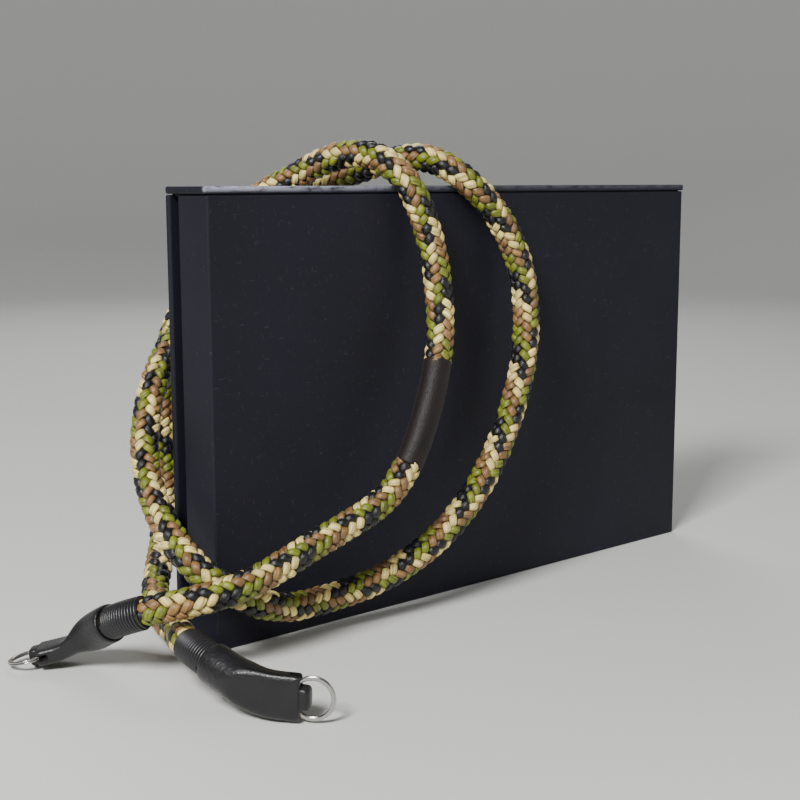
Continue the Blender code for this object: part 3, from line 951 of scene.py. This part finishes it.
# %% [markdown]
# A split ring is one length of spring wire, wound twice round and flattened, with its two
# ends cut square. Round the ring the two coils lie on each other. At one place the wire
# steps from the lower coil to the upper one. A torus would be simpler, but the step and the
# line between the coils are what tells a split ring from a plain one.

# %% Split rings
RING_MEAN_RADIUS = 6.0
WIRE_HALF_WIDTH = 0.6
WIRE_HALF_HEIGHT = 0.32
WIRE_FILL = 0.97
RING_STEPS = 180
WIRE_SIDES = 14
# two coils, of which the wire leaves the last bit open
COILS, COILED_SHARE = 2.0, 0.985
# the lap at which the wire starts to step up, and the share of a lap that this takes
STEP_START, STEP_LENGTH = 0.93, 0.11


def plated_steel():
    """Spring steel wire, rolled, coiled and nickel-plated.

    To the eye: a bright, slightly warm metal whose glint is dulled in places by handling.
    Such marks are hair-fine, so they are drawn as clouds half a millimetre wide.
    """
    material, add = new_material("nickel_plated_spring_steel")
    where = add("ShaderNodeTexCoord").outputs["Object"]
    marks = add(NOISE, {"Vector": where, "Scale": per_mm(0.5), "Detail": 5.0, "Distortion": 1.5})
    dull = add(RANGE, (marks, 0.35, 0.75, 0.12, 0.34))
    tones = set_stops(add(RAMP, (marks,)), (0.0, "#C9C7C2"), (1.0, "#A9A6A0"))
    bump = add(BUMP, {"Height": marks, "Strength": 0.15, "Distance": 0.02 * MM})
    looks = {"Base Color": tones, "Normal": bump, "Roughness": dull, "Metallic": 1.0}
    add(OUTPUT, {"Surface": add(SHADER, looks)})
    return material


steel_material = plated_steel()


def split_ring(end, start_angle):
    """Two coils of one wire, with the step between them just after the cut end."""
    out, across, through = end.axes(0.0)
    centre = end.point(0.0) + out * RING_MEAN_RADIUS * MM
    sections = []
    for i in range(RING_STEPS + 1):
        lap = COILS * i / RING_STEPS * COILED_SHARE
        step = min(max((lap - STEP_START) / STEP_LENGTH, 0.0), 1.0)
        height = -WIRE_HALF_HEIGHT + 2 * WIRE_HALF_HEIGHT * step * step * (3 - 2 * step)
        angle = start_angle + tau * lap
        radial = out * cos(angle) + across * sin(angle)
        middle = centre + radial * RING_MEAN_RADIUS * MM + through * height * MM
        sizes = (WIRE_HALF_WIDTH * MM, WIRE_HALF_HEIGHT * WIRE_FILL * MM, 0.9)
        sections.append(section(middle, radial, through, *sizes, WIRE_SIDES))
    ring = loft(end.name + "_ring", sections)
    ring.data.set_sharp_from_angle(angle=radians(50.0))
    return dress(ring, end.name + "_split_ring", steel_material)


for end, start in zip(ENDS, (radians(150.0), radians(-120.0))):
    split_ring(end, start)

# %% [markdown]
# The box is made of grey board covered in one dark, slightly blue paper. The imported model's
# boards have the right shape, so they stay and only get the paper's finish. It could be one
# dark colour, but paper this dark shows every scuff and its own fibres as a faint mottle,
# and a painted highlight lies pale along the lid's long front edge. Noises of several sizes give all three.

# %% Box paper
# where the lid's front edge lies, and the stretch over which its painted highlight fades, in millimetres
EDGE_Z = (147.3, 149.2)
EDGE_Y = (-9.6, -11.5)
HIGHLIGHT_FADE_X = (-100.0, -10.0)
SMOOTH = {"interpolation_type": "SMOOTHSTEP"}


def pale_scuffs(add, where):
    """Short pale marks, some upright and some level."""
    kinds = []
    for along, across, height in ((0.7, 0.7, 2.6), (2.6, 2.6, 0.7)):
        scale = (per_mm(along), per_mm(across), per_mm(height))
        place = add(VECTOR, (where, scale), operation="MULTIPLY")
        noise = add(NOISE, {"Vector": place, "Scale": 1.0, "Detail": 1.0})
        kinds.append(add(RANGE, (noise, 0.68, 0.82), **SMOOTH))
    both = add(MATH, kinds, operation="MAXIMUM")
    return add(MATH, (both, 0.05), operation="MULTIPLY")


def painted_edge_highlight(add, where):
    """A painted highlight in blotches along the lid's front edge, which fades from its left corner."""
    x, y, z = add("ShaderNodeSeparateXYZ", (where,)).outputs
    near_top = add(RANGE, (z, *[v * MM for v in EDGE_Z]), **SMOOTH)
    near_front = add(RANGE, (y, *[v * MM for v in EDGE_Y]), **SMOOTH)
    on_edge = add(MATH, (near_top, near_front), operation="MULTIPLY")
    highlight_fade = add(RANGE, (x, *[v * MM for v in HIGHLIGHT_FADE_X], 1.0, 0.16))
    drawn_out = add(VECTOR, (where, (0.3, 1.0, 1.0)), operation="MULTIPLY")
    inputs = {"Vector": drawn_out, "Scale": per_mm(1.6), "Detail": 5.0, "Roughness": 0.7}
    blotches = add(RANGE, (add(NOISE, inputs), 0.28, 0.56), **SMOOTH)
    edge_glint = add(MATH, (on_edge, blotches), operation="MULTIPLY")
    return add(MATH, (edge_glint, highlight_fade), operation="MULTIPLY")


def book_paper():
    """Dyed cover paper glued over grey board, with a fine calendered grain.

    To the eye: a matt, slightly blue black with a faint mottle, short pale scuffs that lie
    upright and level, and a painted highlight that lies pale along the lid's front edge, most of
    all at its left corner. Paper fibres are a fiftieth of a millimetre thick, so the mottle is
    drawn 0.7 mm wide.
    """
    material, add = new_material("dyed_cover_paper")
    where = add("ShaderNodeTexCoord").outputs["Object"]
    flattened = add(VECTOR, (where, (1.0, 1.0, 2.2)), operation="MULTIPLY")
    fibres = add(NOISE, {"Vector": flattened, "Scale": per_mm(0.7), "Detail": 6.0, "Roughness": 0.65})
    cloud = add(NOISE, {"Vector": where, "Scale": per_mm(45.0), "Detail": 3.0})
    fine = add(MATH, (fibres, 0.6), operation="MULTIPLY")
    coarse = add(MATH, (cloud, 0.4), operation="MULTIPLY")
    mottle = add(MATH, (fine, coarse), operation="ADD")
    tones = set_stops(add(RAMP, (mottle,)), (0.34, "#090914"), (0.66, "#151524"))
    # The pale mix holds the scuffs, real marks on the paper, and the painted highlight along the lid's front
    # edge.
    scuffs_and_highlight = (painted_edge_highlight(add, where), pale_scuffs(add, where))
    pale = add(MATH, scuffs_and_highlight, operation="MAXIMUM")
    inputs = {"Factor": pale, "A": tones.outputs["Color"], "B": linear("#A4A4B2")}
    worn = add("ShaderNodeMix", inputs, data_type="RGBA").outputs["Result"]
    bump = add(BUMP, {"Height": fibres, "Strength": 0.35, "Distance": 0.05 * MM})
    rough = add(RANGE, (fibres, 0.0, 1.0, 0.56, 0.76))
    looks = {"Base Color": worn, "Normal": bump, "Roughness": rough, "IOR": 1.45}
    looks |= {"Specular IOR Level": 0.4}
    add(OUTPUT, {"Surface": add(SHADER, looks)})
    return material


paper_material = book_paper()
for node in ("box_tray", "box_back_board", "box_top_board"):
    board = bpy.data.objects[node]
    board.data.materials.clear()
    board.data.materials.append(paper_material)
print("paper on the box's three boards")

# %% [markdown]
# The boards stand 0.3 mm apart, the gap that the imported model's pieces keep. A thin strip
# inside, under the top board, closes that slit, through which the bright background shows.

# %% The lip inside the box
LIP_HALF_LENGTH, LIP_HALF_DEPTH = 0.1165, 0.0104
LIP_Z = (0.1462, 0.1474)

corners = ((-1, -1), (1, -1), (1, 1), (-1, 1))
outline = [(LIP_HALF_LENGTH * a, LIP_HALF_DEPTH * b) for a, b in corners]
lip = loft("box_inner_lip", [[Vector((x, y, z)) for x, y in outline] for z in LIP_Z])
lip.data.set_sharp_from_angle(angle=radians(30.0))
dress(lip, None, paper_material)

# %% [markdown]
# A plain pale floor and three soft lamps stand in for the studio. The main lamp is to the left
# and above, where the photograph's light comes from, so the glints on the braid fall on the
# same side of each float. A square floor would show its edge from some sides, so this one is
# round, and its rim curves up into a low wall.

# %% Floor
FLOOR_RINGS = (0.4, 0.8, 1.4)
RIM_RADIUS = 0.7
WALL_TOP = (2.1, 1.5)
TURNS = 64


def backdrop():
    """A wide round floor whose rim curves up into a low wall, the same from every side."""
    profile = [(r, 0.0) for r in FLOOR_RINGS]
    for t in np.linspace(0.08, pi / 2, 16):
        profile.append((FLOOR_RINGS[-1] + RIM_RADIUS * sin(t), RIM_RADIUS - RIM_RADIUS * cos(t)))
    profile.append(WALL_TOP)
    work = bmesh.new()
    middle = work.verts.new((0.0, 0.0, 0.0))
    angles = [tau * k / TURNS for k in range(TURNS)]
    rows = [[work.verts.new((r * cos(a), r * sin(a), h)) for a in angles] for r, h in profile]
    for k in range(TURNS):
        j = (k + 1) % TURNS
        work.faces.new((middle, rows[0][k], rows[0][j]))
        for inner, outer in zip(rows, rows[1:]):
            work.faces.new((inner[k], outer[k], outer[j], inner[j])).smooth = True
    return linked("floor", work)


floor = backdrop()
floor_material, add = new_material("pale_studio_floor")
looks = {"Base Color": linear("#D9D9D6"), "Roughness": 0.8}
add(OUTPUT, {"Surface": add(SHADER, looks)})
floor.data.materials.append(floor_material)
print("floor is", 2 * WALL_TOP[0], "m across")

# %% [markdown]
# Each lamp is a rectangle of soft light that is turned to the strap. The left one is the
# strongest and the smallest, so it makes the glints and a soft shadow. The others and the
# even grey world only keep the dark sides readable.

# %% Lamps
# place, target, width and height in metres, and power in watts
LAMPS = {
    "key_light": ((-0.85, -0.4, 0.8), (-0.05, 0.0, 0.07), (0.3, 0.3), 20.0),
    "fill_light": ((0.6, -1.1, 0.6), (0.0, 0.0, 0.06), (0.9, 0.6), 2.0),
    "back_light": ((0.5, 0.9, 0.9), (0.0, 0.0, 0.07), (0.7, 0.5), 5.0),
}
for name, (place, target, size, power) in LAMPS.items():
    light = bpy.data.lights.new(name, "AREA")
    light.shape = "RECTANGLE"
    light.size, light.size_y = size
    light.energy = power
    lamp = linked(name, light)
    lamp.location = place
    lamp.rotation_euler = (Vector(target) - Vector(place)).to_track_quat("-Z", "Y").to_euler()
world = bpy.data.worlds.new("studio")
world.use_nodes = True
background = world.node_tree.nodes["Background"].inputs
background["Color"].default_value = linear("#C9CCD0")
background["Strength"].default_value = 0.25
bpy.context.scene.world = world
print("lamps:", ", ".join(LAMPS))
